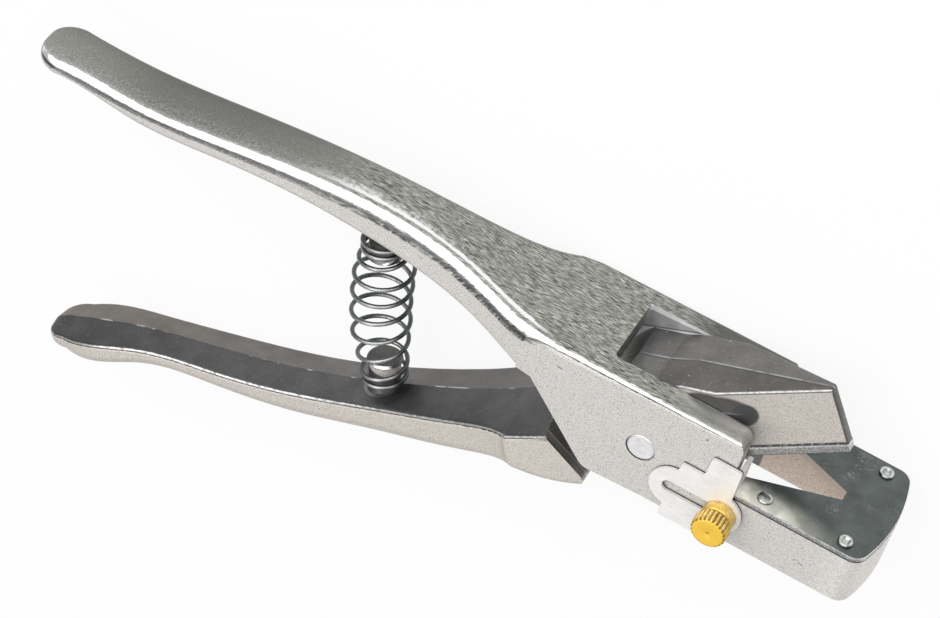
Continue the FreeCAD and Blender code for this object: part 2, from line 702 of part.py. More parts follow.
# Die plate
die = new_body("die_plate")
die_plan = new_sketch(die, "die_outline", "XZ_Plane", -jaw_top)
nose_run = nose(die_plan, die_rear, die_inset)
mouth = notch_tip_half + (notch_tip - die_rear) * notch_slope
nose_run += [(die_rear, mouth), (notch_tip, notch_tip_half),
             (notch_tip, -notch_tip_half), (die_rear, -mouth)]
run(die_plan, nose_run)
pad(die, "die_sheet", die_plan, die_thick, False, True)
die_holes = new_sketch(die, "die_hole_circles", "XZ_Plane")
for x, z in places:
    disc(die_holes, x, z, rivet_radius + pin_press)
pocket(die, "die_holes", die_holes, half * 2)

# Rivets of the die plate
rivets = []
for i, (x, z) in enumerate(places):
    rivet = new_body("die_rivet_%d" % (i + 1))
    shape = new_sketch(rivet, "rivet_half_%d" % i, "XY_Plane", z)
    deck = jaw_top + die_thick
    foot = jaw_top - rivet_depth
    bow = (rivet_head * rivet_head + rivet_dome * rivet_dome) / (rivet_dome * 2)
    run(shape, [
        (x, foot), (x + rivet_radius, foot), (x + rivet_radius, deck),
        (x + rivet_head, deck, bow, -1), (x, deck + rivet_dome)])
    spin = rivet.newObject("PartDesign::Revolution", "rivet_turned_%d" % i)
    spin.Profile = (shape, [""])
    spin.ReferenceAxis = (shape, ["Edge%d" % 5])
    spin.Angle = 360.0
    rivets.append(rivet)
doc.recompute()

# Punch plate and its rivets
punch = new_body("punch_plate")
punch_plan = new_sketch(punch, "punch_outline", "XZ_Plane", -head_seat)
outline(punch_plan, [
    (punch_rear, -tongue_half), (widest, -tongue_half), (punch_tip, -notch_tip_half + 0.15),
    (punch_tip, notch_tip_half - 0.15), (widest, tongue_half), (punch_rear, tongue_half)])
pad(punch, "punch_sheet", punch_plan, punch_thick, False, False)
punch_rivets = []
for i, x in enumerate((punch_rivet_rear, punch_rivet_front)):
    hole = new_sketch(punch, "punch_rivet_hole_%d" % i, "XY_Plane")
    low = head_seat - punch_thick
    sink = low + (punch_rivet_head - punch_rivet_radius)
    gap = pin_press
    outline(hole, [
        (x, low - 0.01), (x + punch_rivet_head + gap, low - 0.01),
        (x + punch_rivet_head + gap, low), (x + punch_rivet_radius + gap, sink),
        (x + punch_rivet_radius + gap, head_seat + 0.01), (x, head_seat + 0.01)])
    cut = punch.newObject("PartDesign::Groove", "punch_rivet_sink_%d" % i)
    cut.Profile = (hole, [""])
    cut.ReferenceAxis = (hole, ["Edge6"])
    cut.Angle = 360.0
    doc.recompute()
    rivet = new_body("punch_rivet_%d" % (i + 1))
    shape = new_sketch(rivet, "punch_rivet_half_%d" % i, "XY_Plane")
    outline(shape, [
        (x, low), (x + punch_rivet_head, low), (x + punch_rivet_radius, sink),
        (x + punch_rivet_radius, head_seat + punch_rivet_depth),
        (x, head_seat + punch_rivet_depth)])
    spin = rivet.newObject("PartDesign::Revolution", "punch_rivet_turned_%d" % i)
    spin.Profile = (shape, [""])
    spin.ReferenceAxis = (shape, ["Edge5"])
    spin.Angle = 360.0
    doc.recompute()
    punch_rivets.append(rivet)

# Depth gauge
gauge = new_body("depth_gauge")
gauge_low = half + gauge_play
slider = new_sketch(gauge, "slider_outline", "XY_Plane", gauge_low)
outline(slider, [
    (gauge_rear - gauge_round, gauge_axis - gauge_round, gauge_round - 0.01),
    (gauge_front + gauge_round, gauge_axis - gauge_round, gauge_round - 0.01),
    (gauge_front + gauge_round, gauge_axis + gauge_round, gauge_round - 0.01),
    (gauge_rear - gauge_round, gauge_axis + gauge_round, gauge_round - 0.01)])
pad(gauge, "slider", slider, gauge_thick, False, False)
tab_front = cheek_front + gauge_thick + 0.7
upright = new_sketch(gauge, "upright_outline", "XY_Plane", gauge_low)
foot_level = jaw_bottom - 0.15 - gauge_thick
outline(upright, [
    (foot_rear, foot_level, 0.8), (foot_front, foot_level, 0.8),
    (foot_front, gauge_axis), (tab_front, gauge_axis + gauge_round + 0.6),
    (tab_front, gauge_top, 0.8), (upright_rear, gauge_top, 0.8),
    (upright_rear - 0.4, upright_step, 0.5), (gauge_rear + 0.2, upright_step, 0.5),
    (gauge_rear - 0.2, gauge_axis + gauge_round - 0.1), (foot_rear, gauge_axis)])
pad(gauge, "upright", upright, gauge_thick, False, False)
foot_side = new_sketch(gauge, "foot_outline", "XY_Plane", gauge_low + gauge_thick)
outline(foot_side, [
    (foot_rear + 0.8, foot_level), (foot_front - 0.8, foot_level),
    (foot_front - 0.8, foot_level + gauge_thick), (foot_rear + 0.8, foot_level + gauge_thick)])
pad(gauge, "foot", foot_side, foot_reach + gauge_thick, False, True)
tab_side = new_sketch(gauge, "tab_outline", "XY_Plane", gauge_low + gauge_thick)
outline(tab_side, [
    (tab_front - gauge_thick, tab_bottom), (tab_front, tab_bottom),
    (tab_front, gauge_top - 0.8), (tab_front - gauge_thick, gauge_top - 0.8)])
pad(gauge, "tab", tab_side, tab_reach + gauge_thick, False, True)
slot = new_sketch(gauge, "gauge_slot_outline", "XY_Plane", gauge_low - 0.5)
outline(slot, [
    (screw_x - gauge_travel - gauge_slot, gauge_axis - gauge_slot, gauge_slot - 0.01),
    (screw_x + gauge_slot, gauge_axis - gauge_slot, gauge_slot - 0.01),
    (screw_x + gauge_slot, gauge_axis + gauge_slot, gauge_slot - 0.01),
    (screw_x - gauge_travel - gauge_slot, gauge_axis + gauge_slot, gauge_slot - 0.01)])
pocket(gauge, "gauge_slot", slot, gauge_thick + 1.0, False, True)

# Thumb screw
screw = new_body("thumb_screw")
turned = new_sketch(screw, "screw_half", "XZ_Plane", -gauge_axis)
z0 = slot_half + 0.3
z1 = gauge_low + gauge_thick + gauge_play
z2 = z1 + collar_length
z3 = z2 + groove_length
z4 = z3 + knob_length
outline(turned, [
    (screw_x, z0), (screw_x + screw_radius, z0), (screw_x + screw_radius, z1),
    (screw_x + collar_radius, z1), (screw_x + collar_radius, z2),
    (screw_x + groove_radius, z2), (screw_x + groove_radius, z3),
    (screw_x + knob_radius - 0.3, z3), (screw_x + knob_radius, z3 + 0.3),
    (screw_x + knob_radius, z4 - 0.5), (screw_x + knob_radius - 0.5, z4),
    (screw_x + 0.7, z4), (screw_x, z4 - 0.5)])
spin = screw.newObject("PartDesign::Revolution", "screw_turned")
spin.Profile = (turned, [""])
spin.ReferenceAxis = (turned, ["Edge13"])
spin.Angle = 360.0
doc.recompute()


# Return spring: a barrel-shaped coil between the two seats, with closer end turns
def in_open(x, y):
    a = math.radians(open_angle.value)
    return V(x * math.cos(a) - y * math.sin(a), x * math.sin(a) + y * math.cos(a), 0)


def get(alias):
    return float(sheet.get(alias))


wire = get("spring_wire")
seat_low = in_open(get("lower_seat_x"), get("lower_seat_y"))
seat_high = V(get("upper_seat_x"), get("upper_seat_y"), 0)
reach = seat_high - seat_low
end_radius = get("stud_radius") + get("spring_play") + wire / 2
belly = get("spring_belly") - wire / 2
turns = get("spring_turns")
start = wire / 2 + get("spring_lift_low")
tall = reach.Length - start - wire / 2 - get("spring_lift_high")
per_turn = 8
steps = int(turns * per_turn)


# Smooth change from 0 to 1 while x passes from a to b
def ease(x, a, b):
    share = min(max((x - a) / (b - a), 0), 1)
    return share * share * (3 - 2 * share)


# How far the coil bows out at a share of its height
def bowed(share):
    return get("spring_bow") * ease(share, 0, 0.35) * ease(0.88 - share, 0, 0.4)


squeeze = get("spring_squeeze")
heights = [0]
for i in range(steps):
    passed = (i + 0.5) / per_turn
    opened = ease(passed - get("closed_low"), -0.5, 0.5)
    opened *= ease(turns - passed - get("closed_high"), -0.5, 0.5)
    opened *= 1 + get("spring_uneven") * (0.5 - passed / turns)
    heights.append(heights[-1] + squeeze + (1 - squeeze) * opened)
points = []
for i, height in enumerate(heights):
    turn = math.radians(get("spring_start")) + 2 * math.pi * i / per_turn
    share = height / heights[-1]
    swell = ease(share, 0, 0.42) * ease(1 - share, 0.1, 0.24)
    r = end_radius + (belly - end_radius) * swell
    lean = (bowed(share + 0.01) - bowed(share - 0.01)) / 0.02 / tall
    side = r * math.cos(turn)
    points.append(V(side - bowed(share), r * math.sin(turn), start + tall * share + side * lean))
curve = Part.BSplineCurve()
curve.interpolate(points)
path = Part.Wire([curve.toShape()])
tangent = curve.tangent(curve.FirstParameter)[0]
across = tangent.cross(V(0, 0, 1)).normalize()
upward = across.cross(tangent)
sides = int(get("wire_sides"))
corners = []
for i in range(sides + 1):
    turn = 2 * math.pi * i / sides
    spoke = across * math.cos(turn) + upward * math.sin(turn)
    corners.append(points[0] + spoke * (wire / 2))
coil = path.makePipeShell([Part.makePolygon(corners)], True, True)
spring = doc.addObject("Part::Feature", "return_spring")
spring.Label = "return_spring"
spring.Shape = coil if coil.ShapeType == "Solid" else Part.Solid(coil)
upright = FreeCAD.Rotation(V(reach.y, -reach.x, 0), V(), reach, "ZXY")
spring.Placement = FreeCAD.Placement(seat_low + V(0, 0, get("half_width")), upright)

# Placing: the lever's pieces are turned open about the pivot
frame_pieces = [frame, pin, die, gauge, screw] + rivets
lever_pieces = [lever, punch] + punch_rivets
for piece in frame_pieces + lever_pieces:
    piece.setExpression("Placement.Base.z", half.text)
for piece in lever_pieces:
    piece.Placement = FreeCAD.Placement(
        V(0, 0, half.value), FreeCAD.Rotation(V(0, 0, 1), open_angle.value))
    piece.setExpression("Placement.Rotation.Angle", open_angle.text)
doc.recompute()

# Checking and writing
bad = []
for thing in doc.Objects:
    if "Invalid" in thing.State or "Error" in thing.State:
        bad.append(thing.Name)
pieces = frame_pieces + lever_pieces + [spring]
for piece in pieces:
    shape = piece.Shape
    if shape.isNull() or not shape.isValid() or len(shape.Solids) != 1:
        bad.append(piece.Label)
if bad:
    raise RuntimeError("These failed: " + ", ".join(bad))
for piece in pieces:
    piece.Shape.exportStep("parts/%s.step" % piece.Label)
    box = piece.Shape.BoundBox
    print("%-16s volume %9.2f  X %7.2f %7.2f  Y %7.2f %7.2f  Z %6.2f %6.2f" % (
        piece.Label, piece.Shape.Volume, box.XMin, box.XMax, box.YMin, box.YMax,
        box.ZMin, box.ZMax))
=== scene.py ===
import math

import bmesh
import bpy
from mathutils import Matrix, Vector


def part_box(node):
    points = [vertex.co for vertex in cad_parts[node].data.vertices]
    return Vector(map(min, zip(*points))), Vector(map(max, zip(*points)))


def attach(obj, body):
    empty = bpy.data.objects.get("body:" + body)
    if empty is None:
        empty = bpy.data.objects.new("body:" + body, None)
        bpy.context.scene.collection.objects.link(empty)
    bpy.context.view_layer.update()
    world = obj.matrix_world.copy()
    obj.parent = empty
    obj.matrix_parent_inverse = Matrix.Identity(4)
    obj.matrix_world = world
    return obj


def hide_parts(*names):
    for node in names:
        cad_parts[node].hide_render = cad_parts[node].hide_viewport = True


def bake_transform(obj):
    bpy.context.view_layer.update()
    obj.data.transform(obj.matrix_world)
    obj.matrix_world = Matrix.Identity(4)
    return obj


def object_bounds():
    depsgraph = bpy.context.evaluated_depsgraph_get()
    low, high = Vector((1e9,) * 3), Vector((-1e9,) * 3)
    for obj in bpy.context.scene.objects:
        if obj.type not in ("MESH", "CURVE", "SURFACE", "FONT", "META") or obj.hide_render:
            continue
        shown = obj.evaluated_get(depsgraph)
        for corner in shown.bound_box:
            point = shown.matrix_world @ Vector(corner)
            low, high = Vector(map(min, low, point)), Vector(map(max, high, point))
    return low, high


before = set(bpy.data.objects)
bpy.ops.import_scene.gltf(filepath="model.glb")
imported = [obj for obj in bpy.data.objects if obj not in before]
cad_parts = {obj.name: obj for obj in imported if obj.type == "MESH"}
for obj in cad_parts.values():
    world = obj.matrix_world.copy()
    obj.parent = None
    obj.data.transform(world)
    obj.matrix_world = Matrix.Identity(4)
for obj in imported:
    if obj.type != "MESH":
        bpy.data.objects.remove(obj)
cad_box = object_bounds()

PHOTO_WIDTH = 940
FOCAL_PIXELS = 3719.5
CAMERA_PLACE = (0.10209, 0.65594, 0.64419)
CAMERA_TURN = (-0.70873, 0.46331, 0.24601)
FLOOR_GLOW = 0.88
ROOM_LEVEL = 0.48

# Places on the tool, in metres in the CAD frame
MIDDLE = 0.017
HANDLE_END = -0.18
HANDLE_REACH = (-0.165, -0.035)
WINDOW_REACH = (-0.0157, 0.0272)
SLOT_REACH = (0.0249, 0.0512)
SCREW_AXIS = (0.0242, -0.006)
SCREW_TOP = 0.0428
LOWER_STUD = (-0.0818, -0.0123)
UPPER_STUD = (-0.0823, 0.0086)

# Degrees by which the lever is swung open at rest, and the slope of the cheeks' upper edge
OPEN_ANGLE = 22.6
CHEEK_SLOPE = 0.055

KNURL_TEETH = 23
SPRING_TURNS = 9.9
POINTS_PER_TURN = 32
WIRE_RADIUS = 0.0006


# The photograph's view
def place_camera():
    data = bpy.data.cameras.new("photo_view")
    data.sensor_width = 36
    data.lens = FOCAL_PIXELS / PHOTO_WIDTH * 36
    data.clip_start = 0.01
    data.clip_end = 20
    camera = bpy.data.objects.new("photo_view", data)
    camera.location = CAMERA_PLACE
    camera.rotation_euler = CAMERA_TURN
    bpy.context.scene.collection.objects.link(camera)
    bpy.context.scene.camera = camera


def grey(value, warm=0.0):
    return (value * (1 + warm), value, value * (1 - warm), 1)


# Short words for a material's nodes
class Recipe:
    def __init__(self, name):
        self.material = bpy.data.materials.new(name)
        self.material.use_nodes = True
        self.nodes = self.material.node_tree.nodes
        self.links = self.material.node_tree.links
        self.shader = self.nodes["Principled BSDF"]
        coords = self.nodes.new("ShaderNodeTexCoord")
        self.place = coords.outputs["Object"]
        self.x, self.y, self.z = self.parts(self.place)
        self.nx, self.ny, self.nz = self.parts(coords.outputs["Normal"])

    # A socket is linked, anything else is the socket's own value
    def join(self, value, socket):
        if hasattr(value, "is_linked"):
            self.links.new(value, socket)
        else:
            socket.default_value = value

    def parts(self, vector):
        node = self.nodes.new("ShaderNodeSeparateXYZ")
        self.links.new(vector, node.inputs["Vector"])
        return node.outputs["X"], node.outputs["Y"], node.outputs["Z"]

    def noise(self, scale, detail=2.0, rough=0.5, source=None):
        node = self.nodes.new("ShaderNodeTexNoise")
        node.inputs["Scale"].default_value = scale
        node.inputs["Detail"].default_value = detail
        node.inputs["Roughness"].default_value = rough
        self.links.new(source or self.place, node.inputs["Vector"])
        return node.outputs["Fac"]

    # Noise drawn out along X, its scale given along X, across Z and up Y
    def streaks(self, along, across, detail=2.0, turn=0.0, rise=None):
        node = self.nodes.new("ShaderNodeMapping")
        node.inputs["Scale"].default_value = (along, rise or across, across)
        node.inputs["Rotation"].default_value = (0, turn, 0)
        self.links.new(self.place, node.inputs["Vector"])
        return self.noise(1.0, detail, 0.5, node.outputs["Vector"])

    def span(self, value, low, high, to_low=0.0, to_high=1.0):
        node = self.nodes.new("ShaderNodeMapRange")
        node.interpolation_type = "SMOOTHSTEP"
        self.join(value, node.inputs["Value"])
        node.inputs["From Min"].default_value = low
        node.inputs["From Max"].default_value = high
        node.inputs["To Min"].default_value = to_low
        node.inputs["To Max"].default_value = to_high
        return node.outputs["Result"]

    def opposite(self, mask):
        return self.span(mask, 0, 1, 1, 0)

    def between(self, value, low, high, edge):
        rise = self.span(value, low - edge, low + edge)
        return self.times(rise, self.span(value, high - edge, high + edge, 1, 0))

    def sums(self, kind, a, b=0.5):
        node = self.nodes.new("ShaderNodeMath")
        node.operation = kind
        self.join(a, node.inputs[0])
        self.join(b, node.inputs[1])
        return node.outputs["Value"]

    def times(self, first, *others):
        for other in others:
            first = self.sums("MULTIPLY", first, other)
        return first

    def off_middle(self):
        return self.sums("ABSOLUTE", self.sums("SUBTRACT", self.z, MIDDLE))

    def from_axis(self, x, y):
        return self.sums("SQRT", self.sums("ADD", self.times(x, x), self.times(y, y)))

    # A place or direction measured along an arm swung open by some degrees, and above it
    def ahead_of(self, x, y, swing):
        c, s = math.cos(math.radians(swing)), math.sin(math.radians(swing))
        return self.sums("ADD", self.times(x, c), self.times(y, s))

    def above(self, x, y, swing):
        c, s = math.cos(math.radians(swing)), math.sin(math.radians(swing))
        return self.sums("SUBTRACT", self.times(y, c), self.times(x, s))

    def blend(self, share, a, b, kind="MIX"):
        node = self.nodes.new("ShaderNodeMix")
        node.data_type = "RGBA"
        node.blend_type = kind
        self.join(share, node.inputs["Factor"])
        colours = [s for s in node.inputs if s.type == "RGBA"]
        self.join(a, colours[0])
        self.join(b, colours[1])
        return [s for s in node.outputs if s.type == "RGBA"][0]

    def multiply(self, a, b):
        return self.blend(1.0, a, b, "MULTIPLY")

    # Stops are (place, colour), with a plain number for a grey
    def ramp(self, value, *stops):
        node = self.nodes.new("ShaderNodeValToRGB")
        row = node.color_ramp.elements
        for place, _ in stops[1:-1]:
            row.new(place)
        for spot, (place, colour) in zip(row, stops):
            spot.position = place
            spot.color = colour if isinstance(colour, tuple) else grey(colour)
        self.links.new(value, node.inputs["Fac"])
        return node.outputs["Color"]

    # 1 at a place on the piece, falling to 0 at its edge, all in millimetres
    def spot(self, place, reach, turn=0.0, core=0.0):
        node = self.nodes.new("ShaderNodeMapping")
        node.vector_type = "TEXTURE"
        node.inputs["Location"].default_value = [v / 1000 for v in place]
        node.inputs["Rotation"].default_value = (0, 0, math.radians(turn))
        node.inputs["Scale"].default_value = [v / 1000 for v in reach]
        self.links.new(self.place, node.inputs["Vector"])
        ruler = self.nodes.new("ShaderNodeVectorMath")
        ruler.operation = "LENGTH"
        self.links.new(node.outputs["Vector"], ruler.inputs[0])
        return self.span(ruler.outputs["Value"], core, 1, 1, 0)

    def bump(self, height, strength, distance=0.0001):
        node = self.nodes.new("ShaderNodeBump")
        node.inputs["Strength"].default_value = strength
        node.inputs["Distance"].default_value = distance
        self.links.new(height, node.inputs["Height"])
        return node.outputs["Normal"]

    def finish(self, colour, rough, normal, metal=1.0):
        self.join(colour, self.shader.inputs["Base Color"])
        self.join(rough, self.shader.inputs["Roughness"])
        self.join(metal, self.shader.inputs["Metallic"])
        self.links.new(normal, self.shader.inputs["Normal"])
        return self.material


# The casting's skin: pale and speckled on its flat sides, polished and painted with highlight bands
# on its roundings.
# slope runs from 0 on a face turned up to 1 on a face turned sideways.
class Casting(Recipe):
    def __init__(self, name, swing=0.0):
        super().__init__(name)
        self.up = self.above(self.nx, self.ny, swing)
        self.ahead = self.sums("ABSOLUTE", self.ahead_of(self.nx, self.ny, swing))
        self.fine = self.noise(3200, 3, 0.6)
        self.cloud = self.noise(130, 3, 0.6)
        steep = self.sums("ARCTAN2", self.sums("ABSOLUTE", self.nz), self.sums("ABSOLUTE", self.up))
        self.slope = self.sums("DIVIDE", steep, math.pi / 2)
        ruffle = self.times(self.sums("SUBTRACT", self.noise(700, 3, 0.7), 0.5), 0.1)
        self.tilt = self.sums("ADD", self.slope,
                              self.times(ruffle, self.span(self.slope, 0.88, 0.95, 1, 0)))
        facing_up = self.times(self.span(self.ahead, 0.6, 0.8, 1, 0), self.span(self.up, 0.0, 0.06))
        self.rounding = self.times(facing_up, self.span(self.nz, -0.02, 0.02))
        self.side = self.sums("MAXIMUM", self.span(self.slope, 0.89, 0.95),
                              self.span(self.up, -0.05, 0.02, 1, 0))

    def speckled_side(self, tone):
        speck = self.span(self.fine, 0.34, 0.66, 0.8, 1.12)
        tint = self.blend(self.span(self.noise(900, 2), 0.4, 0.6),
                          (1.03, 1, 0.965, 1), (0.99, 1, 0.985, 1))
        pits = self.span(self.noise(2600, 2, 0.7), 0.61, 0.68)
        base = self.multiply(self.multiply(tone, tint), speck)
        return self.blend(self.times(pits, 0.75), base, grey(0.13, 0.04))

    # Each nick is painted dark with shade, with a painted highlight on the lip beside it
    def scars_shade_and_highlight(self, base, *places):
        for place, reach, turn in places:
            dark = self.spot(place, reach, turn, 0.3)
            shifted = (place[0] + 0.15, place[1] - 0.3, place[2])
            lit = self.spot(shifted, reach, turn, 0.3)
            base = self.blend(self.times(lit, 0.5), base, grey(0.95))
            base = self.blend(self.times(dark, 0.75), base, grey(0.1))
        return base

    # Colours are in place already: add the roughness, the bump and the duller metal of the sides
    def cast(self, base, polish_and_highlight, skin, rough, height, strength):
        smooth = self.blend(polish_and_highlight, grey(rough[0]), grey(rough[1]))
        smooth = self.blend(skin, smooth, grey(0.55))
        normal = self.bump(height, strength, 0.00012)
        return self.finish(base, smooth, normal, self.span(skin, 0, 1, 1.0, 0.45))


# Brushed back of the upper handle, with painted glints, painted shade along its far edge and a
# painted patch of light on the near cheek
def brushed_and_shaded_back(r, grip):
    along = r.sums("DIVIDE", r.sums("ADD", r.x, -HANDLE_END), 0.21)
    back = r.ramp(along, (0, 0.29), (0.08, 0.26), (0.15, 0.2), (0.27, 0.2), (0.4, 0.25),
                  (0.72, 0.26), (0.86, 0.24), (0.97, 0.42))
    scuffs = r.span(r.streaks(500, 8000, 2, 0.08, 500), 0.34, 0.68, 0.25, 2.05)
    scuffs = r.blend(grip, scuffs, r.span(r.fine, 0.3, 0.7, 0.75, 1.25))
    scuffs = r.blend(r.span(r.x, 0.0, 0.008, 0, 0.7), scuffs, grey(1.0))
    back = r.multiply(back, scuffs)
    # Painted glints along the brushing
    glints = r.times(r.span(r.streaks(420, 7500, 2, 0.12, 420), 0.59, 0.66),
                     r.between(r.x, -0.09, 0.002, 0.02))
    back = r.blend(r.times(glints, 0.85), back, grey(0.85))
    back = r.multiply(back, (1, 1, 0.92, 1))
    # Painted glint specks on the near half of the grip
    glint_specks = r.times(r.span(r.fine, 0.48, 0.62), r.span(r.z, MIDDLE, 0.026), grip)
    back = r.blend(r.times(glint_specks, 0.5), back, grey(0.75))
    # Painted shade on faces turned to the far side, on the far half of the grip and along the far
    # edge by the window
    back = r.blend(r.span(r.nz, -0.8, -0.1, 0.75, 0), back, grey(0.07, -0.02))
    back = r.blend(r.times(grip, r.span(r.z, 0.007, MIDDLE, 0.5, 0)), back, grey(0.08))
    far_edge_shade = r.times(r.span(r.z, 0.006, 0.012, 0.7, 0), r.span(r.x, -0.008, 0.004))
    back = r.blend(far_edge_shade, back, grey(0.08))
    # Painted patch of light on the near cheek's top
    lit = r.spot((14, 16.5, 28.4), (15, 6, 3.2), -6, 0.2)
    return r.blend(r.times(lit, 0.85), back, grey(0.75, 0.02))


# Polish and painted highlight bands along the frame's roundings, by how far the surface has turned
# over
def frame_polish_and_highlight(r, grip, cheek):
    outer = r.ramp(r.tilt, (0, 0), (0.12, 0.06), (0.28, 0.3), (0.36, 1), (0.64, 1),
                   (0.71, 0), (1, 0))
    heel = r.ramp(r.tilt, (0, 0), (0.05, 0), (0.09, 1), (0.15, 1), (0.2, 0.1), (0.31, 0.1),
                  (0.37, 1), (0.6, 1), (0.68, 0), (1, 0))
    brow = r.ramp(r.slope, (0, 0), (0.42, 0), (0.47, 1), (0.62, 1), (0.66, 0), (1, 0))
    return r.times(r.blend(cheek, r.blend(grip, heel, outer), brow), r.rounding)


# The window's walls in painted light and shade: dark low down, light on their upper part, a dark
# line across them, and a painted white highlight along the far one's rim
def window_walls(r, base, opening):
    stripe = r.sums("SUBTRACT", r.y, r.times(r.x, 0.478))
    wall = r.ramp(r.span(stripe, 0.006, 0.0171), (0, 0.25), (0.6, 0.95), (1, 0.8))
    wall = r.blend(r.span(stripe, 0.0171, 0.0173), wall, grey(0.45))
    line = r.between(stripe, 0.0168, 0.0173, 0.0001)
    wall = r.blend(r.times(line, 0.8), wall, (0.03, 0.07, 0.075, 1))
    level = r.sums("SUBTRACT", r.y, r.times(r.x, CHEEK_SLOPE))
    far = r.times(r.between(r.z, 0.0063, 0.007, 0.0001), r.span(r.x, -0.0151, -0.0147))
    wall = r.blend(r.times(r.span(level, 0.01665, 0.0169), far), wall, grey(1.0))
    wall = r.multiply(wall, r.span(r.cloud, 0.3, 0.7, 0.8, 1.2))
    inside = r.sums("MAXIMUM", r.span(level, 0.0172, 0.0175, 1, 0), far)
    window = r.times(r.between(r.x, *WINDOW_REACH, 0.0003), opening)
    return r.blend(r.times(window, inside), base, wall)


def frame_casting_finish():
    r = Casting("frame_casting_skin")
    side = r.speckled_side(r.blend(r.span(r.x, 0.045, 0.06), grey(0.71, 0.02), grey(0.82, 0.02)))
    side = r.scars_shade_and_highlight(side, ((-25.4, 11.3, 34), (1.5, 0.35, 3), -8),
                   ((46.8, -9.4, 34), (1.3, 0.3, 3), -20),
                   ((45.2, -9.0, 34), (0.8, 0.25, 3), 30),
                   ((14.5, 13.5, 34), (0.5, 0.5, 3), 0))
    grip = r.span(r.x, -0.11, -0.085, 1, 0)
    cheek = r.span(r.x, -0.036, -0.028)
    jaw = r.span(r.x, 0.0255, 0.0262)
    polish_and_highlight = frame_polish_and_highlight(r, grip, cheek)
    # Roundings painted near white as highlight over the brushed back
    base = r.blend(polish_and_highlight, brushed_and_shaded_back(r, grip), grey(0.95, -0.005))

    # Painted dark reflection line below the painted highlight band: broad on the handle, a hair on
    # the cheek
    reflected_dark_band = r.times(r.between(r.slope, 0.7, 0.85, 0.05), r.rounding, r.opposite(cheek),
                  r.span(r.noise(350, 3, 0.6), 0.3, 0.6, 0.68, 0.9))
    reflected_dark_hair = r.times(r.between(r.slope, 0.655, 0.72, 0.01), cheek, r.rounding, 0.75)
    base = r.blend(r.sums("MAXIMUM", reflected_dark_band, reflected_dark_hair), base, grey(0.1, -0.06))

    stud = r.spot((-82.3, 3, 17), (5.8, 8, 5.8), 0, 0.95)
    skin = r.sums("MAXIMUM", jaw, r.times(cheek, r.span(r.slope, 0.74, 0.78)))
    skin = r.times(r.sums("MAXIMUM", r.side, skin), r.opposite(stud))
    base = r.blend(skin, base, side)
    base = r.blend(stud, base, grey(0.22))

    opening = r.span(r.off_middle(), 0.0109, 0.0113, 1, 0)
    base = window_walls(r, base, opening)
    # The slot's walls: the sides' tone painted lighter and warmer, painted light against the shade
    # in the slot
    slot = r.times(r.between(r.x, *SLOT_REACH, 0.0003), opening)
    base = r.blend(slot, base, r.multiply(side, (1.33, 1.17, 1.07, 1)))
    height = r.blend(skin, r.streaks(350, 3400, 3, 0.1, 350), r.noise(1400, 3, 0.6))
    return r.cast(base, polish_and_highlight, skin, (0.36, 0.17), height, 0.35)


# Lower handle and block: two roof-like faces that meet in a worn crest at the middle, light with
# wear and with painted highlight, with a painted shadow line under it
def lever_back(r, handle):
    near = r.span(r.z, MIDDLE - 0.0002, MIDDLE + 0.0002)
    along = r.span(r.x, *HANDLE_REACH)
    # Near face painted darker than the far one as shade; the tongue in the window painted lighter
    # against its shade
    inner = r.ramp(along, (0, grey(0.16, 0.1)), (0.4, grey(0.17, 0.06)), (1, grey(0.12, 0.03)))
    shade = r.ramp(along, (0, 0.085), (0.4, 0.115), (1, 0.12))
    roof = r.blend(near, grey(0.19, 0.03), grey(0.15, 0.03))
    tongue = r.blend(near, grey(0.28, 0.01), grey(0.26, 0.01))
    roof = r.blend(r.span(r.x, -0.012, 0.0), tongue, roof)
    back = r.blend(r.span(r.x, -0.02, -0.015), r.blend(near, inner, shade), roof)
    back = r.multiply(back, r.span(r.cloud, 0.25, 0.75, 0.84, 1.16))
    back = r.multiply(back, r.span(r.fine, 0.3, 0.7, 0.88, 1.12))
    flecks = r.times(r.span(r.noise(1300, 2, 0.6), 0.66, 0.72), r.span(handle, 0, 1, 0.5, 0.15))
    back = r.blend(flecks, back, grey(0.6))

    level = r.span(r.up, 0.3, 0.5)
    crest = r.times(r.span(r.off_middle(), 0.00012, 0.00035, 1, 0), level)
    dents = r.times(r.span(r.streaks(160, 200, 3), 0.54, 0.64), 0.8)
    bold = r.times(r.opposite(handle), r.span(r.streaks(300, 200, 2), 0.35, 0.55, 0.15, 0.65))
    back = r.blend(r.times(crest, r.sums("MAXIMUM", dents, bold)), back, grey(0.6))
    # Painted shadow line under the crest on the near side
    crest_shadow = r.times(r.between(r.z, 0.01735, 0.0177, 0.0001), level, bold)
    return r.blend(r.times(crest_shadow, 0.7), back, grey(0.03))


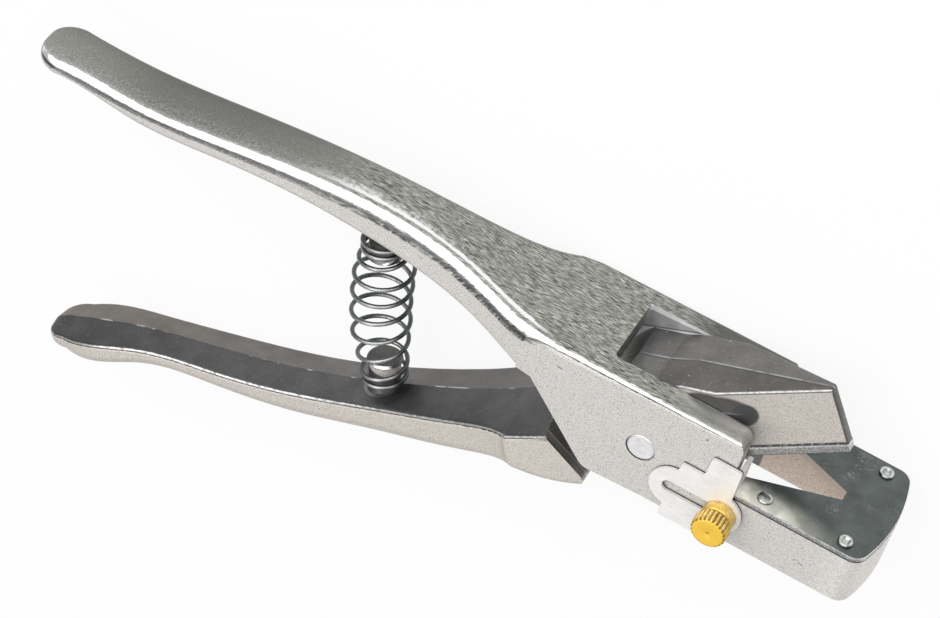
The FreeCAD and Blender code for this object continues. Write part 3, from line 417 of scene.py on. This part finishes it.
def lever_finish():
    r = Casting("punch_lever_skin", OPEN_ANGLE)
    side = r.speckled_side(r.blend(r.span(r.x, -0.02, 0.0), grey(0.66, 0.055), grey(0.6, 0.05)))
    level = r.above(r.x, r.y, OPEN_ANGLE)
    seam = r.times(r.between(level, 0.0, 0.0013, 0.0001), r.span(r.x, 0.008, 0.01),
                   r.span(r.noise(1500, 2), 0.35, 0.5, 0.55, 1))
    side = r.blend(seam, side, grey(0.07))

    # Painted shadow of the near cheek on the head's side, with a painted glint in it
    for place, reach, turn in (((13, 17.8, 26), (10, 4.2, 6), 10),
                               ((19.4, 18.6, 26), (3.6, 3.4, 6), 0)):
        side = r.blend(r.times(r.spot(place, reach, turn, 0.8), 0.95), side, grey(0.05))
    side = r.blend(r.times(r.spot((15, 17.6, 26), (4.5, 0.45, 6), 14), 0.5), side, grey(0.6))

    handle = r.span(r.x, -0.03, -0.015, 1, 0)
    stud = r.spot((-71.2, -41.5, 17), (5.7, 8, 5.7), OPEN_ANGLE, 0.95)
    # Polished roundings with painted highlight bands, fainter off the handle
    band = r.ramp(r.tilt, (0, 0), (0.38, 0), (0.5, 0.8), (0.64, 0.8), (0.7, 0), (1, 0))
    brow = r.ramp(r.tilt, (0, 0), (0.2, 0), (0.35, 0.3), (0.55, 0.5), (0.74, 0.35),
                  (0.82, 0), (1, 0))
    grain = r.span(r.noise(700, 3, 0.7), 0.35, 0.55, 0.5, 1)
    polish_and_highlight = r.times(r.blend(handle, brow, band), grain, r.rounding, r.opposite(stud))
    base = r.blend(polish_and_highlight, lever_back(r, handle), grey(0.8, 0.01))
    # Painted shade in thin lines along the handle's roundings: at the top of the highlight band and
    # between the band and the side
    edge = r.times(r.between(r.tilt, 0.7, 0.76, 0.02), 0.7)
    shadow = r.times(r.between(r.tilt, 0.3, 0.45, 0.05), 0.5)
    base = r.blend(r.times(r.sums("MAXIMUM", edge, shadow), handle, r.rounding), base, grey(0.06))

    skin = r.times(handle, r.rounding, r.span(r.slope, 0.75, 0.79))
    skin = r.times(r.sums("MAXIMUM", r.side, skin), r.opposite(stud))
    base = r.blend(skin, base, side)
    base = r.blend(stud, base, grey(0.22))

    # Rounded near edge of the block's front face, painted only: a painted highlight line inside a
    # strip of painted shade
    face = r.times(r.span(r.ahead, 0.4, 0.6), r.between(r.x, -0.034, -0.004, 0.001),
                   r.span(r.y, -0.004, -0.002, 1, 0))
    base = r.blend(r.times(face, r.between(r.z, 0.0315, 0.0334, 0.0002), 0.6), base, grey(0.3))
    base = r.blend(r.times(face, r.between(r.z, 0.0313, 0.0317, 0.0001), 0.6), base, grey(0.6))
    return r.cast(base, polish_and_highlight, skin, (0.4, 0.25), r.noise(1200, 3, 0.6), 0.3)


# Blued plates with a painted streak of light on the top, and cut edges painted dark as shade at the
# foot and lighter towards the top. low and high are the plate's faces above the arm.
def hardened_plate(name, tone, glow, low, high, swing=0.0, notched=False):
    r = Recipe(name)
    flat = r.span(r.sums("ABSOLUTE", r.ny), 0.8, 0.97)
    top = r.multiply(tone, r.span(r.noise(160, 4, 0.6), 0.3, 0.7, 0.85, 1.18))
    # Painted streak of light across the top face
    light_streak = r.times(r.spot(*glow), r.span(r.noise(260, 3), 0.3, 0.6, 0.7, 1))
    top = r.blend(light_streak, top, (1, 1, 0.88, 1))
    scuffed = r.times(r.span(r.noise(180, 3, 0.6), 0.5, 0.7),
                      r.span(r.noise(1800, 2, 0.7), 0.45, 0.65))
    top = r.blend(r.times(scuffed, 0.35), top, grey(0.5))

    level = r.above(r.x, r.y, swing)
    # Cut edges: painted shade at the foot, lighter above, lightest at the top
    edge = r.blend(r.span(level, low + 0.0002, low + 0.0005), grey(0.03), grey(0.55, 0.01))
    edge = r.blend(r.span(level, high - 0.0007, high - 0.0004), edge, grey(0.9))
    edge = r.multiply(edge, r.span(r.noise(2200, 2, 0.7), 0.35, 0.65, 0.6, 1.2))
    if notched:
        inside = r.times(r.span(r.off_middle(), 0.0105, 0.0108, 1, 0),
                         r.span(r.x, 0.05, 0.0502, 1, 0))
        edge = r.blend(inside, edge, (0.74, 0.65, 0.58, 1))
    base = r.blend(flat, edge, top)
    rough = r.span(r.noise(500, 3, 0.6), 0.3, 0.7, 0.28, 0.42)
    metal = r.span(r.times(light_streak, flat), 0, 1, 0.9, 0.1)
    return r.finish(base, rough, r.bump(r.noise(1700, 2, 0.6), 0.15), metal)


# Ground pin end, with a faint ring and a dark line round its lower edge, both painted shade,
# darkest on the lower side
def pin_finish():
    r = Recipe("ground_pin_face")
    out = r.from_axis(r.x, r.y)
    ring = r.between(out, 0.00335, 0.00365, 0.0001)
    low = r.span(r.sums("ADD", r.x, r.y), -0.004, 0.002, 1, 0)
    face = r.blend(r.span(r.noise(700, 3, 0.6), 0.3, 0.7), grey(0.86), grey(0.95))
    face = r.blend(r.times(r.span(r.noise(1100, 2), 0.62, 0.7), 0.3), face, grey(0.4))
    face = r.blend(r.times(ring, r.span(low, 0, 1, 0.2, 0.8)), face, grey(0.3))
    face = r.blend(r.times(r.span(out, 0.00365, 0.0038), low), face, grey(0.08))
    rough = r.span(r.noise(900, 2), 0.3, 0.7, 0.4, 0.55)
    return r.finish(face, rough, r.bump(r.noise(1500, 2), 0.2), 0.6)


def rivet_finish():
    r = Recipe("rivet_skin")
    base = r.blend(r.span(r.noise(900, 3, 0.6), 0.35, 0.65),
                   (0.42, 0.45, 0.43, 1), (0.68, 0.7, 0.67, 1))
    # Sloping sides of the heads and the dimples painted dark as shade
    base = r.blend(r.span(r.ny, 0.5, 0.9, 0.75, 0), base, grey(0.06))
    rough = r.span(r.noise(1200, 2), 0.3, 0.7, 0.2, 0.36)
    return r.finish(base, rough, r.bump(r.noise(1600, 2), 0.25))


# Plated sheet, with painted shade on its cut edges, darkest where it meets the cheek
def gauge_finish():
    r = Recipe("plated_gauge_sheet")
    face = r.blend(r.span(r.noise(260, 3, 0.6), 0.3, 0.7), grey(0.88, 0.01), grey(0.95, 0.014))
    face = r.multiply(face, r.span(r.streaks(400, 4500, 2), 0.3, 0.7, 0.96, 1.03))
    pits = r.span(r.noise(1200, 2, 0.6), 0.64, 0.72)
    face = r.blend(r.times(pits, 0.25), face, grey(0.35))
    cut = r.span(r.sums("ABSOLUTE", r.nz), 0.3, 0.8, 1, 0)
    seat = r.times(r.span(r.z, 0.0344, 0.03455, 1, 0), r.span(r.z, 0.0338, 0.0339))
    face = r.blend(r.times(cut, 0.5), face, grey(0.45))
    face = r.blend(r.times(cut, seat, 0.95), face, grey(0.02))
    rough = r.span(r.noise(600, 2), 0.3, 0.7, 0.42, 0.55)
    return r.finish(face, rough, r.bump(r.noise(1500, 2), 0.15), 0.35)


# Turned brass, dark in the knurl, in the groove under it and in the centre mark
def brass_finish():
    r = Recipe("turned_brass")
    out_x = r.sums("SUBTRACT", r.x, SCREW_AXIS[0])
    out_y = r.sums("SUBTRACT", r.y, SCREW_AXIS[1])
    out = r.from_axis(out_x, out_y)
    rings = r.sums("SINE", r.times(out, 16000))
    face = r.span(r.nz, 0.7, 0.95)
    mottle = r.span(r.noise(500, 3, 0.6), 0.3, 0.7)
    tone = r.blend(mottle, (0.8, 0.5, 0.1, 1), (0.95, 0.6, 0.12, 1))
    wall = r.blend(mottle, (0.7, 0.46, 0.12, 1), (0.95, 0.7, 0.25, 1))
    knurl = r.times(r.span(r.z, SCREW_TOP - 0.004, SCREW_TOP - 0.0038),
                    r.span(out, 0.0042, 0.0046, 1, 0))
    wall = r.blend(r.times(knurl, 0.8), wall, (0.16, 0.08, 0.015, 1))
    groove = r.times(r.span(out, 0.0038, 0.004, 1, 0),
                     r.span(r.z, SCREW_TOP - 0.005, SCREW_TOP - 0.0046))
    wall = r.blend(r.times(groove, 0.85), wall, (0.1, 0.04, 0.01, 1))
    base = r.blend(face, wall, r.blend(0.75, tone, (1, 0.63, 0.055, 1)))
    centre = r.times(r.span(out, 0.00025, 0.0004, 1, 0), face, 0.7)
    base = r.blend(centre, base, (0.25, 0.12, 0.02, 1))
    height = r.sums("ADD", r.times(rings, face, 0.25), r.noise(1400, 2))
    rough = r.span(r.noise(700, 2), 0.3, 0.7, 0.22, 0.36)
    return r.finish(base, rough, r.bump(height, 0.12), r.span(face, 0, 1, 1.0, 0.25))


def wire_finish():
    r = Recipe("plated_spring_wire")
    # Wire painted light where it faces up and down and dark on its sides: painted light and shade
    base = r.ramp(r.sums("ABSOLUTE", r.nz), (0, (0.085, 0.1, 0.095, 1)),
                  (0.4, (0.14, 0.155, 0.15, 1)), (0.8, 0.4), (1, 0.5))
    base = r.multiply(base, r.span(r.noise(300, 3, 0.6), 0.3, 0.7, 0.8, 1.2))
    flecks = r.span(r.noise(1600, 2, 0.6), 0.6, 0.7)
    base = r.blend(r.times(flecks, 0.35), base, grey(0.12))
    rough = r.span(r.noise(900, 2), 0.3, 0.7, 0.28, 0.42)
    return r.finish(base, rough, r.bump(r.noise(1800, 2), 0.2))


# A finished mesh becomes a piece of the tool
def make_piece(name, bm, material, body, node):
    bmesh.ops.remove_doubles(bm, verts=bm.verts, dist=1e-7)
    bmesh.ops.recalc_face_normals(bm, faces=bm.faces)
    mesh = bpy.data.meshes.new(name)
    bm.to_mesh(mesh)
    bm.free()
    for face in mesh.polygons:
        face.use_smooth = True
    mesh.materials.append(material)
    piece = bpy.data.objects.new(name, mesh)
    bpy.context.scene.collection.objects.link(piece)
    if body:
        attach(piece, body)
    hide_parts(node)
    return piece


# Turn a half profile of (radius, height) in millimetres round an axis along Z or Y
def turn_profile(rows, centre, axis, steps):
    bm = bmesh.new()
    last = None
    edges = []
    for out, up in rows:
        spot = bm.verts.new((out / 1000, 0, up / 1000))
        if last:
            edges.append(bm.edges.new((last, spot)))
        last = spot
    bmesh.ops.spin(bm, geom=bm.verts[:] + edges, cent=(0, 0, 0), axis=(0, 0, 1),
                   angle=2 * math.pi, steps=steps, use_merge=True)
    if axis == "Y":
        upright = Matrix.Rotation(-math.pi / 2, 3, "X")
        bmesh.ops.rotate(bm, verts=bm.verts, cent=(0, 0, 0), matrix=upright)
    bmesh.ops.translate(bm, verts=bm.verts, vec=centre)
    return bm


def knurled_screw():
    low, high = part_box("thumb_screw")
    foot, top = low[2] * 1000, high[2] * 1000
    knob = (high[0] - low[0]) * 500
    crest_shadow = top - 3.9
    shank = [(0, foot), (1.75, foot), (1.75, top - 7.5)]
    collar = [(4.1, top - 7.5), (4.3, top - 7.3), (4.3, top - 4.75), (4.12, top - 4.55)]
    groove = [(3.7, top - 4.5), (3.62, top - 4.2), (3.7, crest_shadow)]
    head = [(knob - 0.45, crest_shadow), (knob - 0.12, crest_shadow + 0.2), (knob, crest_shadow + 0.5),
            (knob, top - 0.75), (knob - 0.12, top - 0.4), (knob - 0.5, top - 0.12),
            (knob - 0.9, top - 0.02), (knob - 1.3, top)]
    dimple = [(0.55, top), (0.45, top - 0.05), (0.25, top - 0.2), (0, top - 0.25)]
    bm = turn_profile(shank + collar + groove + head + dimple, (0, 0, 0), "Z", 180)
    for spot in bm.verts:
        out = math.hypot(spot.co.x, spot.co.y)
        if out > (knob - 0.2) / 1000 and crest_shadow / 1000 < spot.co.z:
            turn = math.atan2(spot.co.y, spot.co.x)
            depth = 0.5 - 0.5 * math.cos(turn * KNURL_TEETH)
            fit = 1 - 0.1 * depth * depth
            spot.co.x *= fit
            spot.co.y *= fit
    bmesh.ops.translate(bm, verts=bm.verts, vec=(*SCREW_AXIS, 0))
    make_piece("knurled_thumb_screw", bm, brass_finish(), "screw", "thumb_screw")


# Die rivets: the rear pair domed, the front pair dimpled by the punch that set them
def die_rivets(material):
    for number in (1, 2, 3, 4):
        node = "die_rivet_%d" % number
        low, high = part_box(node)
        deck, foot = high[1] * 1000 - 0.8, low[1] * 1000
        centre = ((low[0] + high[0]) / 2, 0, (low[2] + high[2]) / 2)
        rows = [(0, foot), (1.5, foot), (1.5, deck), (2.02, deck), (2.05, deck + 0.1)]
        if centre[0] < 0.045:
            rows += [(1.95, deck + 0.33), (1.7, deck + 0.53), (1.2, deck + 0.7),
                     (0.6, deck + 0.78), (0, deck + 0.8)]
        else:
            rows += [(1.95, deck + 0.5), (1.7, deck + 0.74), (1.4, deck + 0.8),
                     (1.1, deck + 0.7), (0.9, deck + 0.4), (0.7, deck + 0.25),
                     (0.35, deck + 0.22), (0, deck + 0.24)]
        bm = turn_profile(rows, centre, "Y", 48)
        make_piece("set_rivet_%d" % number, bm, material, "frame", node)


def eased(x, a, b):
    share = min(max((x - a) / (b - a), 0), 1)
    return share * share * (3 - 2 * share)


# Sideways sag of the coil's middle
def spring_bow(share):
    return 0.0012 * eased(share, 0, 0.35) * eased(0.88 - share, 0, 0.4)


# Rise of the coil's line point by point: close end turns, an open and uneven middle
def coil_heights():
    heights = [0]
    for i in range(int(SPRING_TURNS * POINTS_PER_TURN)):
        passed = (i + 0.5) / POINTS_PER_TURN
        opened = eased(passed - 1.2, -0.5, 0.5) * eased(SPRING_TURNS - passed - 2.4, -0.5, 0.5)
        opened *= 1 + 0.9 * (0.5 - passed / SPRING_TURNS)
        heights.append(heights[-1] + 0.36 + 0.64 * opened)
    return heights


# Barrel-shaped coil of round wire between the handles' studs
def coil_spring():
    swung = Matrix.Rotation(math.radians(OPEN_ANGLE), 3, "Z")
    foot = swung @ Vector((*LOWER_STUD, 0)) + Vector((0, 0, MIDDLE))
    head = Vector((*UPPER_STUD, MIDDLE))
    reach = head - foot
    up = reach.normalized()
    side = Vector((reach.y, -reach.x, 0)).normalized()
    deep = up.cross(side)
    start, tall = WIRE_RADIUS + 0.0027, reach.length - 2 * WIRE_RADIUS - 0.0043
    end_radius, belly = 0.0052 + WIRE_RADIUS, 0.00815 - WIRE_RADIUS
    heights = coil_heights()
    data = bpy.data.curves.new("coil_line", "CURVE")
    data.dimensions = "3D"
    data.bevel_depth = WIRE_RADIUS
    data.bevel_resolution = 4
    data.use_fill_caps = True
    line = data.splines.new("POLY")
    line.points.add(len(heights) - 1)
    for i, height in enumerate(heights):
        angle = math.radians(225) + 2 * math.pi * i / POINTS_PER_TURN
        share = height / heights[-1]
        barrel = eased(share, 0, 0.42) * eased(1 - share, 0.1, 0.24)
        out = end_radius + (belly - end_radius) * barrel
        lean = (spring_bow(share + 0.01) - spring_bow(share - 0.01)) / 0.02 / tall
        away = out * math.cos(angle)
        point = foot + side * (away - spring_bow(share)) + deep * out * math.sin(angle)
        point += up * (start + tall * share + away * lean)
        line.points[i].co = (*point, 1)
    curve = bpy.data.objects.new("coil_line", data)
    bpy.context.scene.collection.objects.link(curve)
    bpy.context.view_layer.update()
    finished = curve.evaluated_get(bpy.context.evaluated_depsgraph_get())
    bm = bmesh.new()
    bm.from_mesh(bpy.data.meshes.new_from_object(finished))
    bpy.data.objects.remove(curve)
    piece = make_piece("wound_spring", bm, wire_finish(), None, "return_spring")
    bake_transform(piece)


def dress(node, material):
    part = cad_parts[node]
    if not part.material_slots:
        part.data.materials.append(material)
    for slot in part.material_slots:
        slot.material = material


def dress_tool():
    dress("frame_casting", frame_casting_finish())
    dress("punch_lever", lever_finish())
    dress("pivot_pin", pin_finish())
    dress("die_plate", hardened_plate(
        "die_plate_steel", (0.115, 0.13, 0.125, 1), ((24, 1.2, 34.5), (31, 3, 11), 0, 0.2),
        -0.00054, 0.0012, notched=True))
    dress("punch_plate", hardened_plate(
        "punch_plate_steel", (0.2, 0.21, 0.2, 1), ((30, 8, 31), (2, 2, 2)),
        -0.0021, 0.00055, OPEN_ANGLE))
    rivet = rivet_finish()
    dress("punch_rivet_1", rivet)
    dress("punch_rivet_2", rivet)
    die_rivets(rivet)
    dress("depth_gauge", gauge_finish())
    knurled_screw()
    coil_spring()


# Pale floor that shines back most of what the camera and the tool's metal see of it
def lay_floor():
    bm = bmesh.new()
    bmesh.ops.create_grid(bm, x_segments=1, y_segments=1, size=3)
    mesh = bpy.data.meshes.new("floor")
    bm.to_mesh(mesh)
    bm.free()
    floor = bpy.data.objects.new("floor", mesh)
    floor.location = (0, 0, cad_box[0][2] - 0.0002)
    bpy.context.scene.collection.objects.link(floor)
    material = bpy.data.materials.new("pale_floor")
    material.use_nodes = True
    nodes, links = material.node_tree.nodes, material.node_tree.links
    shader = nodes["Principled BSDF"]
    shader.inputs["Base Color"].default_value = (0.9, 0.9, 0.9, 1)
    shader.inputs["Roughness"].default_value = 0.9
    white = nodes.new("ShaderNodeEmission")
    seen = nodes.new("ShaderNodeLightPath")
    rays = seen.outputs["Is Camera Ray"]
    for kind in ("Is Glossy Ray", "Is Transmission Ray"):
        either = nodes.new("ShaderNodeMath")
        either.operation = "MAXIMUM"
        links.new(rays, either.inputs[0])
        links.new(seen.outputs[kind], either.inputs[1])
        rays = either.outputs["Value"]
    part = nodes.new("ShaderNodeMath")
    part.operation = "MULTIPLY"
    part.inputs[1].default_value = FLOOR_GLOW
    links.new(rays, part.inputs[0])
    mix = nodes.new("ShaderNodeMixShader")
    links.new(part.outputs["Value"], mix.inputs["Fac"])
    links.new(shader.outputs["BSDF"], mix.inputs[1])
    links.new(white.outputs["Emission"], mix.inputs[2])
    links.new(mix.outputs["Shader"], nodes["Material Output"].inputs["Surface"])
    mesh.materials.append(material)


def soft_lamp(name, place, aim, size, power):
    data = bpy.data.lights.new(name, "AREA")
    data.shape = "RECTANGLE"
    data.size, data.size_y = size
    data.energy = power
    lamp = bpy.data.objects.new(name, data)
    lamp.location = place
    lamp.rotation_euler = (Vector(aim) - Vector(place)).to_track_quat("-Z", "Y").to_euler()
    bpy.context.scene.collection.objects.link(lamp)


# White room, dimmer for the tool than for the camera, and two soft lamps
def light_room():
    world = bpy.data.worlds.new("studio")
    bpy.context.scene.world = world
    world.use_nodes = True
    nodes, links = world.node_tree.nodes, world.node_tree.links
    nodes["Background"].inputs["Color"].default_value = (1, 1, 1, 1)
    seen = nodes.new("ShaderNodeLightPath")
    level = nodes.new("ShaderNodeMapRange")
    level.inputs["To Min"].default_value = ROOM_LEVEL
    links.new(seen.outputs["Is Camera Ray"], level.inputs["Value"])
    links.new(level.outputs["Result"], nodes["Background"].inputs["Strength"])
    soft_lamp("front_softbox", (-0.3, 0.95, 0.92), (-0.08, -0.02, 0.02), (2.4, 1.4), 21)
    soft_lamp("top_softbox", (-0.25, -0.15, 1.1), (-0.05, -0.02, 0), (0.6, 0.5), 2)


dress_tool()
place_camera()
lay_floor()
light_room()
bpy.context.scene.view_settings.view_transform = "Standard"
